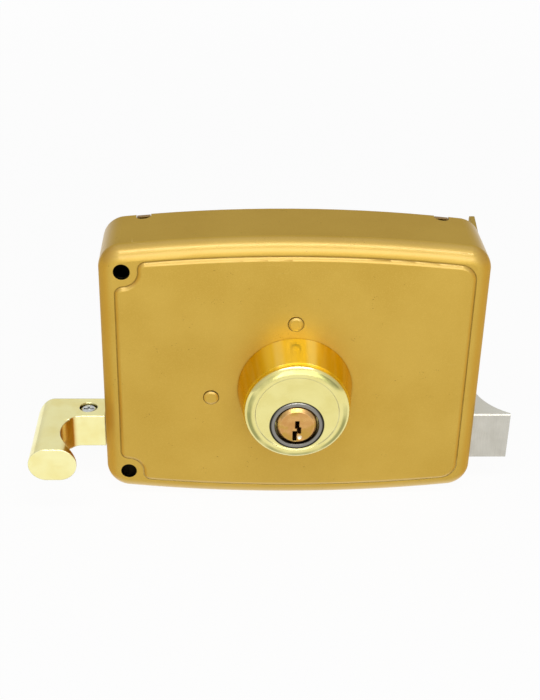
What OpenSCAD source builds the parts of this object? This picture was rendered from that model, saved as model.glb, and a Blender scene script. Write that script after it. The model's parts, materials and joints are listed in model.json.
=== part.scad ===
// Rim box lock: a pressed case with a sprung latch bolt, a pull handle and a pin-tumbler cylinder.
// Millimetres. X runs from the pull handle to the latch, Z is up, and the door face is the plane Y = 0.
// The key side of the lock faces -Y. Most pieces are drawn lying down, with their height above the
// door face along the drawing's own third axis, and are then stood up by stand().

/* [Case] */
// Width of the case across its straight sides
case_w = 120; // [114:1:134]
// Height of the case at the middle of its bowed edges
case_h = 93; // [90:1:106]
// Depth of the case from the door face to its rim
case_d = 25; // [24:0.5:29]
// Thickness of the pressed sheet
wall = 1.5; // [1.2:0.1:1.8]
// Radius of the four upright corners
corner_r = 8; // [7:0.5:8.5]
// Radius of the rounded front edge
edge_r = 5; // [4:0.5:6]
// Radius of the bow of the top and bottom edges
bow_r = 485; // [360:5:900]
// Width of each notch in the rear edge
rear_notch_w = 4.6; // [3:0.2:7]
// Depth of each notch in the rear edge
rear_notch_d = 3.5; // [2.5:0.1:5]
// Distance of each rear notch from the middle of the case
rear_notch_x = 47; // [30:1:48]

/* [Raised panel] */
// Height of the panel above the rim
panel_rise = 0.8; // [0.5:0.1:1.2]
// Flat left between the rounded front edge and the panel
panel_margin = 0.1; // [0.1:0.1:1]
// Width of the panel's rounded shoulder
panel_edge_w = 1.5; // [1.2:0.1:2.1]
// Width of the crease round the panel
crease_w = 0.25; // [0.15:0.05:0.5]
// Depth of the crease round the panel
crease_d = 0.15; // [0.1:0.05:0.5]
// Radius of the panel's two plain corners
panel_corner_r = 5.5; // [4:0.5:8]
// Radius of the clear ground round each fixing hole
notch_r = 5; // [4.5:0.25:6]
// Radius where that ground runs into the panel's edge
notch_blend_r = 2.6; // [2.6:0.1:3.2]

/* [Fixing] */
// Diameter of the fixing holes
hole_d = 5; // [4:0.25:6]
// Distance of the fixing holes from the handle side of the case
hole_inset = 7.3; // [6.5:0.1:8.5]
// Distance of the fixing holes from the middle of the top and bottom edges
hole_drop = 10.5; // [9.5:0.25:12.5]
// Reach of the lip behind the door face
lip_depth = 12; // [9:0.5:16]
// Height of the lip with its two ears
lip_h = 79.4; // [77:0.2:82]
// Gap between the ears and the rear edge of the case
ear_gap = 0.5; // [0.3:0.1:1]
// Slope of the ears' edges, in degrees
ear_angle = 15; // [8:1:16]
// Radius of the lip's corners
lip_corner_r = 1.5; // [1:0.5:3]
// Diameter of the screw holes in the lip
lip_hole_d = 4.5; // [3.5:0.25:5.5]
// Distance between the screw holes in the lip
lip_hole_pitch = 52; // [40:1:56]

/* [Back plate] */
// Thickness of the back plate
plate_t = 1.5; // [1.2:0.1:1.8]
// Gap between the back plate and the walls round it
plate_gap = 0.15; // [0.05:0.05:0.3]
// Diameter of the hole for an outside cylinder's tail
tail_hole_d = 13; // [10:0.5:14]
// Gap to each side of the plate's tongues in the rear notches
tongue_gap = 0.2; // [0.1:0.05:0.4]
// Depth of the tongues' ends below the outside of the case
tongue_set = 0.2; // [0.1:0.05:0.5]

/* [Cylinder] */
// Place of the cylinder across the case, from its middle
cyl_x = 0.7; // [-3:0.1:3]
// Height of the cylinder's axis above the slide bar's axis
cyl_over_bar = 20.7; // [20.2:0.1:22]
// Reach of the cylinder's face in front of the panel
cyl_reach = 15.4; // [13:0.2:18]
// Reach of the cylinder's body behind the front of the panel
cyl_back = 8.3; // [7.6:0.1:8.8]
// Diameter of the cylinder's body
body_d = 28; // [27.4:0.2:29]
// Overhang of the cylinder's head round its body
head_lip = 2.1; // [1.8:0.1:3]
// Thickness of the cylinder's head
head_t = 3; // [2.6:0.1:4]
// Width of the rounded rim of the head
rim_w = 3.1; // [2.4:0.1:3.2]
// Fall of the rim from the face to its outer edge
rim_fall = 1.4; // [1:0.1:2]
// Depth of the flat face below the rim
flat_drop = 0.25; // [0.1:0.05:0.4]
// Wall of the collar where it meets the panel
collar_wall = 4.05; // [3.4:0.05:5.8]
// Wall of the collar behind the head
collar_tip_wall = 2.4; // [2.3:0.05:3.3]
// Gap round the cylinder's body in the collar, the case and the bracket
body_gap = 0.1; // [0.05:0.05:0.2]
// Outside diameter of the steel ring round the plug
ring_d = 16.3; // [15.8:0.1:17]
// Depth of the ring's seat
ring_depth = 2.4; // [1.6:0.1:2.6]
// Height of the ring above the flat face
ring_rise = 0.2; // [0.1:0.05:0.4]
// Gap round the ring at the flat face
ring_gap = 0.2; // [0.1:0.05:0.3]
// Depth of the gap round the ring
ring_gap_depth = 0.8; // [0.4:0.1:1.2]

/* [Plug and pins] */
// Diameter of the plug's head
plug_d = 12.6; // [12.5:0.1:13]
// Diameter of the plug's body
plug_body_d = 12.2; // [11.8:0.1:12.4]
// Distance of the plug's axis below the cylinder's axis
plug_drop = 4.2; // [3.9:0.1:4.5]
// Running gap round the plug
plug_gap = 0.05; // [0.03:0.01:0.1]
// Gap between the plug's head and the ring
plug_head_gap = 0.45; // [0.3:0.05:0.5]
// Height of the plug's face above the flat face
plug_rise = 0.7; // [0.3:0.1:1]
// Bevel round the plug's face and behind its body
plug_bevel = 1; // [0.4:0.1:1.2]
// Diameter of the plug behind the cylinder's body
plug_neck_d = 9; // [8.8:0.1:9.6]
// Width of each of the keyway's three steps
key_step_w = 1.2; // [1.1:0.1:1.3]
// Depth of the keyway below the plug's axis
key_depth = 5.1; // [4.7:0.1:5.3]
// Height of the keyway above the plug's axis
key_rise = 2; // [1.4:0.1:2.2]
// Place of the keyway's upper step across, from the plug's axis
key_top_x = 0.05; // [-0.2:0.05:0.2]
// Place of the keyway's middle step across, from the plug's axis
key_mid_x = 0.65; // [0.5:0.05:0.75]
// Place of the keyway's lower step across, from the plug's axis
key_low_x = -0.65; // [-0.9:0.05:-0.65]
// Distance of the middle step's top below the plug's axis
key_mid_drop = 0.2; // [0:0.1:0.4]
// Overlap of the upper and the middle step
key_lap = 0.4; // [0.2:0.1:0.6]
// Distance of the ledge under the middle step below the plug's axis
key_ledge_drop = 1.6; // [1.3:0.1:1.8]
// Height of that ledge
key_ledge_h = 0.8; // [0.4:0.1:1]
// Metal left behind the keyway
key_end = 1; // [0.6:0.1:2]
// Diameter of the hollow beside the keyway
dimple_d = 1.6; // [1:0.1:1.8]
// Depth of the hollow beside the keyway
dimple_depth = 0.4; // [0.2:0.05:0.6]
// Place of the hollow across, from the plug's axis
dimple_x = 0.9; // [0.8:0.05:1.2]
// Distance of the hollow below the plug's axis
dimple_drop = 3.8; // [3.5:0.1:4.1]
// Distance of the first pin behind the cylinder's face
pin_first = 5.8; // [5.6:0.1:6]
// Distance from pin to pin
pin_pitch = 3.7; // [3.4:0.1:3.8]
// Diameter of the pins
pin_d = 2.8; // [2.4:0.1:2.9]
// Running gap round the pins
pin_gap = 0.05; // [0.03:0.01:0.1]
// Height of the floor of the plug's pin holes above its axis
pin_floor = 0.5; // [0.3:0.1:0.8]
// Length of the key pins' pointed tips
pin_tip = 0.7; // [0.5:0.1:0.9]
// Length of each driver pin
driver_len = 4.5; // [4:0.1:5]
// Thickness of the strip that closes the pin chambers
cap_t = 1.4; // [1:0.1:1.6]
// Overlap of the strip to each side of the pins
cap_side = 0.1; // [0.05:0.05:0.3]
// Wire of the pin springs
pin_wire = 0.34; // [0.3:0.02:0.4]
// Turns of the pin springs
pin_turns = 5; // [4:1:6]

/* [Cam and yoke] */
// Radius at which the cam's finger drives the yoke
cam_r = 11; // [10.6:0.1:11.4]
// Turn of the plug that draws the bolt back, in degrees
cam_angle = 70; // [60:1:70]
// Thickness of the cam and of the yoke
cam_t = 3; // [2:0.2:3.6]
// Radius of the cam's finger
finger_r = 2; // [1.6:0.1:2.2]
// Width of the web that carries the finger
finger_web = 2.4; // [1.8:0.1:2.6]
// Diameter of the cam's hub
hub_d = 11; // [10.6:0.2:12]
// Diameter of the plug's tail
tail_d = 8; // [7.4:0.2:8.4]
// Distance across the flats of the plug's tail
tail_flats = 5.4; // [5:0.1:6]
// Length of the tail past the cam's clip
tail_past = 3; // [2:0.1:4]
// Width of the slot in the tail's end
tail_slot_w = 1.5; // [1:0.1:2]
// Depth of the slot in the tail's end
tail_slot_d = 1.5; // [1:0.1:1.8]
// Thickness of the cam's clip
cam_clip_t = 1; // [0.8:0.1:1.2]
// Outside diameter of the cam's clip
cam_clip_d = 10; // [9.4:0.1:10.6]
// Width of the mouth of the cam's clip
cam_clip_mouth = 4.2; // [3.6:0.1:4.6]
// Gap between each clip and the bottom of its groove
clip_gap = 0.05; // [0.03:0.01:0.1]
// Play of the finger in the yoke, to each side
yoke_play = 0.35; // [0.3:0.05:0.5]
// Width of the yoke
yoke_w = 12; // [10.5:0.5:13]
// Depth at which the yoke sits in the slide bar
yoke_seat = 5; // [4.6:0.1:6]
// Reach of the yoke's ears past the middle of the finger
yoke_ear = 0.5; // [0.3:0.1:0.8]
// Diameter of the yoke's cross pin
yoke_pin_d = 2.4; // [1.8:0.1:2.6]

/* [Slide bar and spring] */
// Side of the square slide bar
bar_s = 8; // [7.4:0.1:8.4]
// Height of the bar's axis above the case's lower edge
bar_up = 21.6; // [20.8:0.1:23]
// Distance of the bar's axis from the door face
bar_y = 12.6; // [12:0.1:12.8]
// Running gap round the bar
bar_gap = 0.25; // [0.15:0.05:0.4]
// Reach of the bar into the latch bolt
bar_in_bolt = 14; // [12:0.5:18]
// Reach of the bar into the handle
bar_in_handle = 11.6; // [10:0.2:13]
// Wire of the latch spring
spring_wire = 1.1; // [0.9:0.1:1.2]
// Turns of the latch spring
spring_turns = 5; // [4:1:6]
// Length of the latch spring with the bolt out
spring_len = 20.3; // [20:0.1:23]
// Gap between the spring and the bar's edges
spring_gap = 0.4; // [0.3:0.1:0.6]

/* [Latch bolt] */
// Reach of the bolt outside the case
bolt_reach = 12.9; // [12.8:0.1:16]
// Height of the bolt
bolt_h = 16.9; // [15.5:0.1:18]
// Distance of the bolt's middle below the bar's axis
bolt_drop = 2.1; // [1.4:0.1:2.4]
// Distance of the bolt's back from the door face
bolt_back = 2.6; // [2.2:0.1:4]
// Distance of the bolt's front from the door face
bolt_front = 18.2; // [17.8:0.1:18.6]
// Length of the bevel behind the bolt's tip
bevel_len = 9.5; // [8:0.1:11]
// Radius of the hollow bevel
bevel_r = 20; // [14:0.5:30]
// Thickness left at the bolt's tip
tip_t = 0.9; // [0.6:0.1:2]
// Bevel along the bolt's front edges
bolt_edge = 0.4; // [0.2:0.1:1.2]
// Running gap round the bolt
bolt_gap = 0.25; // [0.15:0.05:0.4]
// Diameter of the bolt's cross pins
bolt_pin_d = 3; // [2:0.2:3.4]
// Distance between the bolt's cross pins
bolt_pin_pitch = 6; // [5:0.5:8]

/* [Guides] */
// Thickness of the guide brackets
guide_t = 1.5; // [1.2:0.1:1.8]
// Width of the bolt's guide along the bolt
guide_w = 10; // [7:0.5:12]
// Distance of the bolt's guide from the case's wall
guide_set = 4.5; // [2:0.5:6]
// Length of the bolt guide's feet
guide_foot = 4; // [3.8:0.1:4.2]
// Height of the bar's guide
bar_guide_h = 18; // [16:0.5:20]
// Reach of the bar's guide in front of the bar's axis
bar_guide_reach = 7; // [5.5:0.1:7.4]
// Length of the bar guide's foot
bar_guide_foot = 6; // [5:0.5:8]
// Distance of the bar's guide from the yoke with the bolt out
guide_clear = 1; // [0.6:0.1:1.4]
// Distance between the two rivets of the bar's guide
bar_rivet_pitch = 12; // [10:0.5:12]
// Shank diameter of the guide rivets
guide_rivet_d = 2.4; // [2:0.1:2.6]
// Head diameter of the guide rivets
guide_rivet_head_d = 3.6; // [3:0.1:3.8]
// Head height of the guide rivets
guide_rivet_head_h = 1; // [0.6:0.1:1.2]

/* [Bracket and rivets] */
// Thickness of the bracket plate
bracket_t = 2; // [1.5:0.1:2.2]
// Width of the bracket round the cylinder's body
bracket_w = 4.9; // [4:0.1:7]
// Width of the bracket's arms
arm_w = 10; // [8:0.5:12]
// Place of the upper rivet across, from the cylinder's axis
rivet_up_x = -0.3; // [-2:0.1:2]
// Height of the upper rivet above the cylinder's axis
rivet_up_z = 23.1; // [22:0.1:26]
// Place of the side rivet across, from the cylinder's axis
rivet_side_x = -26.5; // [-30:0.1:-25]
// Height of the side rivet above the cylinder's axis
rivet_side_z = -3.2; // [-5:0.1:2]
// Shank diameter of the panel rivets
rivet_d = 3.2; // [2.6:0.1:3.6]
// Head diameter of the panel rivets
rivet_head_d = 4.6; // [4.2:0.1:6]
// Height of the rivets' heads above the panel
rivet_head_h = 0.6; // [0.4:0.1:1]
// Height of the rivets' tails behind the bracket
rivet_tail_h = 1; // [0.6:0.1:1.2]
// Gap round the rivets' heads in their seats
rivet_gap = 0.25; // [0.15:0.05:0.4]
// Depth of the rivets' seats in the panel
rivet_seat = 0.3; // [0.2:0.05:0.5]
// Thickness of the cylinder clip
clip_t = 1.5; // [1:0.1:1.6]
// Depth of the clip's groove in the cylinder's body
clip_groove = 1.4; // [1:0.1:1.6]
// Width of the clip's limbs
clip_w = 4.4; // [3.4:0.1:5]

/* [Pull handle] */
// Distance between the handle and the case with the bolt out
handle_gap = 0.4; // [0.3:0.1:1]
// Length of the handle along the bar
handle_len = 22.8; // [21:0.1:26]
// Depth of the handle's shank
shank_d = 11; // [10.4:0.1:12.4]
// Height of the handle
handle_h = 11.4; // [10.8:0.1:12.6]
// Width of the hook
hook_w = 15.2; // [14:0.1:16]
// Reach of the hook in front of the shank
hook_reach = 19.9; // [19.6:0.1:22]
// Width of the hook's neck
neck_w = 9.3; // [8.5:0.1:9.6]
// Radius of the finger scoop
scoop_r = 12; // [11:0.1:12.4]
// Distance of the scoop's middle from the shank
scoop_off = 8.9; // [8.2:0.1:9.2]
// Direction from the scoop's middle to its front end, in degrees
scoop_angle = 120; // [118:1:124]
// Radius where the scoop runs into the shank
scoop_blend_r = 4; // [3:0.1:5]
// Radius of the handle's rear corner
handle_corner_r = 5; // [3:0.5:6]
// Distance of the handle's screw from the case with the bolt out
screw_set = 5.8; // [5:0.1:7]
// Diameter of the screw's head
screw_head_d = 5.5; // [5:0.1:6]
// Height of the screw's head
screw_head_h = 1.2; // [0.9:0.1:1.3]
// Height of the straight side of the screw's head
screw_side_h = 0.7; // [0.4:0.05:0.8]
// Diameter of the flat on the screw's head
screw_flat_d = 4.1; // [3.6:0.1:4.6]
// Length of the screw's cross slot
screw_slot_l = 3.3; // [2.6:0.1:3.6]
// Width of the screw's cross slot
screw_slot_w = 0.85; // [0.6:0.05:1.1]
// Depth of the screw's cross slot
screw_slot_d = 0.7; // [0.4:0.05:0.8]
// Diameter of the screw's thread
screw_d = 4; // [3:0.1:4.4]
// Length of the screw below its head
screw_len = 6.5; // [5:0.1:7]
// Gap round the screw's head in the handle
screw_gap = 0.2; // [0.1:0.05:0.4]

/* [Hidden] */
$fn = 96;
bow_fn = 1440;
spring_steps = 24;
pin_spring_steps = 10;
wire_sides = 6;

gold = [0.80, 0.63, 0.25];
brass = [0.90, 0.85, 0.55];
bronze = [0.80, 0.60, 0.35];
steel = [0.62, 0.62, 0.62];
zinc = [0.75, 0.75, 0.72];

// A little more than any cut needs, so that no cut ends on a face
over = 1;

// Levels above the door face
panel_top = case_d + panel_rise;
panel_inner = panel_top - wall;
face_top = panel_top + cyl_reach;
head_base = face_top - head_t;
flat_top = face_top - flat_drop;
plug_top = flat_top + plug_rise;
body_base = panel_top - cyl_back;
bracket_base = panel_inner - bracket_t;
clip_base = bracket_base - clip_t;
cam_base = bar_y - cam_t / 2;
cam_top = bar_y + cam_t / 2;
cam_clip_base = cam_base - cam_clip_t;
tail_end = cam_clip_base - tail_past;
shank_front = bar_y + shank_d / 2;

// Places across and up the case
bar_z = -case_h / 2 + bar_up;
cyl_z = bar_z + cyl_over_bar;
cyl_at = [cyl_x, cyl_z];
plug_at = [cyl_x, cyl_z - plug_drop];
hole_x = -case_w / 2 + hole_inset;
hole_pitch = case_h - 2 * hole_drop;
bar_top = bar_z + bar_s / 2;
bolt_z = bar_z - bolt_drop;
bolt_top = bolt_z + bolt_h / 2;
bolt_low = bolt_z - bolt_h / 2;
bolt_tip = case_w / 2 + bolt_reach;
half_turn = cam_angle / 2;
yoke_x = cyl_x + cam_r * sin(half_turn);
guide_x = yoke_x + yoke_w / 2 + guide_clear;
spring_x = guide_x + guide_t;
bolt_rear = spring_x + spring_len;
handle_right = -case_w / 2 - handle_gap;
handle_left = handle_right - handle_len;
bar_left = handle_right - bar_in_handle;
bar_right = bolt_rear + bar_in_bolt;
bolt_guide_x = case_w / 2 - wall - guide_set - guide_w;

// Round sizes that follow the cylinder's body and the plug
sleeve_d = body_d + 2 * body_gap;
head_d = body_d + 2 * head_lip;
collar_d = sleeve_d + 2 * collar_wall;
collar_tip_d = sleeve_d + 2 * collar_tip_wall;
bracket_d = sleeve_d + 2 * bracket_w;
groove_r = body_d / 2 - clip_groove;
tail_core_r = tail_flats / 2 - 2 * plug_gap;
rim_r = (pow(rim_w, 2) + pow(rim_fall, 2)) / (2 * rim_fall);

// A hair by which two faces that would only touch are made to cross
cross = 0.03;

function polar(c, r, a) = c + r * [cos(a), sin(a)];
function angle_of(v) = atan2(v[1], v[0]);

// Middle of the upper bow and of the two upper corners of the case
bow_at = [0, case_h / 2 - bow_r];
corner_x = case_w / 2 - corner_r;
corner_z = bow_at[1] + sqrt(pow(bow_r - corner_r, 2) - pow(corner_x, 2));

// The panel's outline follows the case's at an inset. Its plain corners and the blends beside the fixing
// holes are placed where they touch the lines that they join.
panel_inset = edge_r + panel_margin;
panel_x = case_w / 2 - panel_inset;
panel_bow_r = bow_r - panel_inset;
panel_corner_x = panel_x - panel_corner_r;
panel_corner_z = bow_at[1] + sqrt(pow(panel_bow_r - panel_corner_r, 2) - pow(panel_corner_x, 2));
panel_edge_r = (pow(panel_edge_w, 2) + pow(panel_rise, 2)) / (2 * panel_rise);
hole_at = [hole_x, hole_pitch / 2];
blend_far = notch_r + notch_blend_r;
blend_bow = panel_bow_r - notch_blend_r;
hole_from_bow = norm(hole_at - bow_at);
blend_along = (pow(blend_bow, 2) - pow(blend_far, 2) + pow(hole_from_bow, 2)) / (2 * hole_from_bow);
blend_aside = sqrt(pow(blend_bow, 2) - pow(blend_along, 2));
hole_way = (hole_at - bow_at) / hole_from_bow;
blend_up = bow_at + blend_along * hole_way + blend_aside * [hole_way[1], -hole_way[0]];
blend_side_x = -panel_x + notch_blend_r;
blend_side = [blend_side_x, hole_at[1] - sqrt(pow(blend_far, 2) - pow(blend_side_x - hole_x, 2))];

// Stands a piece that was drawn lying down on the door face
module stand() {
    rotate([90, 0, 0]) children();
}

// Runs a section of the drawing's second and third axes along the first
module along_x(length) {
    rotate([90, 0, 90]) linear_extrude(length) children();
}

// Runs a plan of the drawing's first and third axes down the second, from a top level
module down_from(top, height) {
    translate([0, top, 0]) rotate([90, 0, 0]) linear_extrude(height) children();
}

// The ground between an arc and its chord. An arc is [centre, radius, first angle, last angle].
module arc_cap(arc) {
    half = abs(arc[3] - arc[2]) / 2;
    middle = (arc[2] + arc[3]) / 2;
    way = (arc[1] * (1 - cos(half)) + over) * [cos(middle), sin(middle)];
    first = polar(arc[0], arc[1], arc[2]);
    last = polar(arc[0], arc[1], arc[3]);
    intersection() {
        translate(arc[0]) circle(arc[1]);
        polygon([first, last, last + way, first + way]);
    }
}

// What a rounded edge takes off a square one. The round is r, and its middle lies at an inset from the edge.
module edge_cut(reach, top, inset, r) {
    if (r > 0) difference() {
        translate([reach - inset, top - r]) square([inset + over, r + 4 * over]);
        translate([reach - inset, top - r + cross]) circle(r);
    }
}

// Upright disc with a rounded front edge
module rim_disc(at, reach, low, top, inset, r) {
    translate(at) rotate_extrude($fn = bow_fn) difference() {
        translate([0, low]) square([reach, top - low]);
        edge_cut(reach, top, inset, r);
    }
}

// Upright slab with two rounded front edges
module rim_slab(reach, low, top, inset, r) {
    down_from(case_h, 2 * case_h) difference() {
        translate([-reach, low]) square([2 * reach, top - low]);
        edge_cut(reach, top, inset, r);
        mirror([1, 0]) edge_cut(reach, top, inset, r);
    }
}

// What a round corner takes off a square one, between two directions from the middle of the corner
module corner_cut(at, first, last, reach, low, top, inset, r) {
    far = 3 * reach;
    middle = (first + last) / 2;
    difference() {
        translate([0, 0, low - over]) linear_extrude(top - low + 2 * over)
            polygon([at, polar(at, far, first), polar(at, 2 * far, middle), polar(at, far, last)]);
        translate(at) rotate_extrude() difference() {
            translate([0, low - 2 * over]) square([reach + cross, top - low + 4 * over]);
            edge_cut(reach + cross, top, inset, r);
        }
    }
}

// The case's outline drawn in by an inset, as a solid with a rounded front edge
module case_body(in, low, top, r) {
    corner_at = [corner_x, corner_z];
    difference() {
        intersection() {
            rim_disc(bow_at, bow_r - in, low, top, r - cross, r);
            rim_disc(-bow_at, bow_r - in, low, top, r - cross, r);
            rim_slab(case_w / 2 - in, low, top, r - cross, r);
        }
        for (left = [0, 1], below = [0, 1]) mirror([left, 0, 0]) mirror([0, below, 0])
            corner_cut(corner_at, 0, angle_of(corner_at - bow_at), corner_r - in, low, top, r - cross, r);
    }
}

// What the clear ground round a fixing hole takes out of the panel
module notch_cut(grow, low, top, w, r) {
    reach = notch_r - grow;
    translate(hole_at) rotate_extrude() {
        translate([0, low - over]) square([reach, top - low + 2 * over]);
        if (r > 0) difference() {
            translate([reach - over, case_d]) square([w + over, top - case_d + over]);
            translate([reach + w, top - r + cross]) circle(r);
        }
    }
}

// The panel's outline grown by a width, as a solid. Its shoulder is w wide with the radius r.
module panel_body(grow, low, top, w, r) {
    corner_at = [panel_corner_x, panel_corner_z];
    side_way = angle_of(hole_at - blend_side);
    up_way = angle_of(hole_at - blend_up) + 360;
    difference() {
        intersection() {
            rim_disc(bow_at, panel_bow_r + grow, low, top, w, r);
            rim_disc(-bow_at, panel_bow_r + grow, low, top, w, r);
            rim_slab(panel_x + grow, low, top, w, r);
        }
        for (below = [0, 1]) mirror([0, below, 0]) {
            corner_cut(corner_at, 0, angle_of(corner_at - bow_at), panel_corner_r + grow, low, top, w, r);
            notch_cut(grow, low, top, w, r);
            corner_cut(blend_up, angle_of(blend_up - bow_at), up_way, notch_blend_r + grow, low, top, w, r);
            corner_cut(blend_side, side_way, 180, notch_blend_r + grow, low, top, w, r);
        }
    }
}

// A round wire wound along the third axis
module coil(radius, wire, turns, length, per_turn, sides) {
    steps = turns * per_turn;
    rise = length - wire;
    lean = atan2(rise, 2 * PI * radius * turns);
    points = [for (i = [0 : steps], j = [0 : sides - 1])
        let (a = 360 * i / per_turn, b = 360 * j / sides,
            out = [cos(a), sin(a), 0],
            side = [sin(lean) * sin(a), -sin(lean) * cos(a), cos(lean)])
        out * (radius + cos(b) * wire / 2) + side * (sin(b) * wire / 2)
            + [0, 0, wire / 2 + rise * i / steps]];
    walls = [for (i = [0 : steps - 1], j = [0 : sides - 1])
        let (a = i * sides + j, b = i * sides + (j + 1) % sides)
        each [[a, a + sides, b], [b, a + sides, b + sides]]];
    ends = [for (j = [1 : sides - 2]) each [
        [0, j, j + 1],
        [steps * sides, steps * sides + j + 1, steps * sides + j]]];
    polyhedron(points, concat(walls, ends));
}

// Outline of the lip behind the door face, with ears that pass the rear edge of the case
module lip_outline() {
    r = lip_corner_r;
    neck = corner_z - ear_gap;
    corner = [lip_h / 2 - r, r - lip_depth];
    bend = polar(corner, r, ear_angle);
    root = bend[0] - (-ear_gap - bend[1]) * tan(ear_angle);
    translate([-neck, -ear_gap - over]) square([2 * neck, ear_gap + 2 * over]);
    for (below = [0, 1]) mirror([below, 0]) {
        polygon([[-over, -ear_gap], [root, -ear_gap], bend, [corner[0], -lip_depth], [-over, -lip_depth]]);
        arc_cap([corner, r, -90, ear_angle]);
    }
}

// Outline of one notch in the rear edge
module rear_notch() {
    r = rear_notch_w / 2;
    translate([-r, -over]) square([rear_notch_w, rear_notch_d - r + over]);
    translate([0, rear_notch_d - r]) circle(r);
}

module cover_cuts() {
    recess_w = 2 * (-hole_x - notch_r - panel_edge_w - wall);
    inside = case_d - wall - over;
    translate([-recess_w / 2, -hole_pitch / 2, inside]) cube([recess_w, hole_pitch, panel_rise + over]);
    for (side = [-1, 1])
        translate([hole_x, side * hole_pitch / 2, inside]) cylinder(d = hole_d, h = wall + 2 * over);
    translate([each cyl_at, panel_inner - over]) cylinder(d = sleeve_d, h = wall + 2 * over);
    for (at = rivet_places()) translate(at) {
        translate([0, 0, panel_inner - over]) cylinder(d = rivet_d, h = wall + 2 * over);
        translate([0, 0, panel_top - rivet_seat]) cylinder(d = rivet_head_d + 2 * rivet_gap, h = over);
    }
    translate([-case_w / 2 - over, bar_z - bar_s / 2 - bar_gap, bar_y - bar_s / 2 - bar_gap])
        cube([wall + 2 * over, bar_s + 2 * bar_gap, bar_s + 2 * bar_gap]);
    translate([case_w / 2 - wall - over, bolt_low - bolt_gap, bolt_back - bolt_gap])
        cube([wall + 2 * over, bolt_h + 2 * bolt_gap, bolt_front - bolt_back + 2 * bolt_gap]);
    for (side = [-1, 1])
        translate([side * rear_notch_x, 0, 0]) down_from(case_h, 2 * case_h) rear_notch();
    for (side = [-1, 1])
        translate([case_w / 2 - wall - over, side * lip_hole_pitch / 2, -lip_depth / 2])
            rotate([0, 90, 0]) cylinder(d = lip_hole_d, h = wall + 2 * over);
}

function rivet_places() = [cyl_at + [rivet_up_x, rivet_up_z], cyl_at + [rivet_side_x, rivet_side_z]];

module case_cover() {
    color(gold) stand() difference() {
        union() {
            difference() {
                case_body(0, 0, case_d, edge_r);
                panel_body(crease_w, case_d - crease_d, case_d + over, 0, 0);
            }
            panel_body(0, case_d - wall / 2, panel_top, panel_edge_w, panel_edge_r);
            translate([case_w / 2 - wall, 0, 0]) along_x(wall) lip_outline();
        }
        case_body(wall, -over, case_d - wall, edge_r - wall);
        cover_cuts();
    }
}

function foot_rivets() = [
    [bolt_guide_x + guide_w / 2, bolt_top + bolt_gap + guide_t + guide_foot / 2],
    [bolt_guide_x + guide_w / 2, bolt_low - bolt_gap - guide_t - guide_foot / 2],
    [guide_x + guide_t + bar_guide_foot / 2, bar_z + bar_rivet_pitch / 2],
    [guide_x + guide_t + bar_guide_foot / 2, bar_z - bar_rivet_pitch / 2]
];

// The plate's tongues sit in the notches of the rear edge
module back_plate() {
    tongue_w = rear_notch_w - 2 * tongue_gap;
    color(zinc) stand() difference() {
        union() {
            case_body(wall + plate_gap, 0, plate_t, 0);
            intersection() {
                case_body(tongue_set, 0, plate_t, 0);
                for (side = [-1, 1])
                    translate([side * rear_notch_x - tongue_w / 2, -case_h, 0])
                        cube([tongue_w, 2 * case_h, plate_t]);
            }
        }
        for (side = [-1, 1])
            translate([hole_x, side * hole_pitch / 2, -over]) cylinder(d = hole_d, h = plate_t + 2 * over);
        translate([each plug_at, -over]) cylinder(d = tail_hole_d, h = plate_t + 2 * over);
        for (at = foot_rivets())
            translate([each at, -over]) cylinder(d = guide_rivet_d, h = plate_t + 2 * over);
    }
}

// An arm with a round end from the cylinder to a rivet
module bracket_arm(at) {
    way = at - cyl_at;
    turn = angle_of(way);
    translate(cyl_at) rotate(turn) {
        translate([0, -arm_w / 2]) square([norm(way), arm_w]);
        arc_cap([[norm(way), 0], arm_w / 2, -90, 90]);
    }
}

module bracket_plate() {
    color(steel) stand() translate([0, 0, bracket_base]) difference() {
        linear_extrude(bracket_t) {
            translate(cyl_at) circle(d = bracket_d);
            for (at = rivet_places()) bracket_arm(at);
        }
        translate([each cyl_at, -over]) cylinder(d = sleeve_d, h = bracket_t + 2 * over);
        for (at = rivet_places())
            translate([each at, -over]) cylinder(d = rivet_d, h = bracket_t + 2 * over);
    }
}

module panel_rivets() {
    head_base = panel_top - rivet_seat;
    bevel = rivet_head_h / 2;
    color(gold) stand() for (at = rivet_places()) translate(at) {
        translate([0, 0, bracket_base - rivet_tail_h]) cylinder(d = rivet_head_d, h = rivet_tail_h);
        translate([0, 0, bracket_base]) cylinder(d = rivet_d, h = head_base - bracket_base);
        translate([0, 0, head_base]) cylinder(d = rivet_head_d, h = rivet_seat + bevel);
        translate([0, 0, panel_top + bevel])
            cylinder(d1 = rivet_head_d, d2 = rivet_head_d - 2 * rivet_head_h, h = bevel);
    }
}

module cylinder_collar() {
    inner = sleeve_d / 2;
    color(gold) stand() translate(cyl_at) rotate_extrude()
        polygon([[inner, panel_top], [collar_d / 2, panel_top], [collar_tip_d / 2, head_base],
            [inner, head_base]]);
}

// Half section of the cylinder's turned body and head
module housing_section() {
    rim_in = head_d / 2 - rim_w;
    rim_at = [rim_in, face_top - rim_r];
    rim_edge = [head_d / 2, face_top - rim_fall];
    difference() {
        union() {
            translate([0, body_base]) square([body_d / 2, head_base - body_base]);
            polygon([[0, head_base], [head_d / 2, head_base], rim_edge, [rim_in, face_top],
                [rim_in - flat_drop, flat_top], [0, flat_top]]);
            arc_cap([rim_at, rim_r, angle_of(rim_edge - rim_at), 90]);
        }
        translate([groove_r, clip_base]) square([clip_groove + over, clip_t]);
    }
}

pin_levels = [for (i = [0 : 4]) face_top - pin_first - i * pin_pitch];
pin_hole_r = pin_d / 2 + pin_gap;
bore_r = plug_body_d / 2 + plug_gap;
ring_base = flat_top - ring_depth;
driver_base = bore_r + plug_gap;
cap_w = pin_d + 2 * cap_side;
cap_base = plug_drop + sqrt(pow(body_d / 2, 2) - pow(cap_w / 2, 2)) - pin_gap - cap_t;
cap_front = pin_levels[0] + pin_d;

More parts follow.
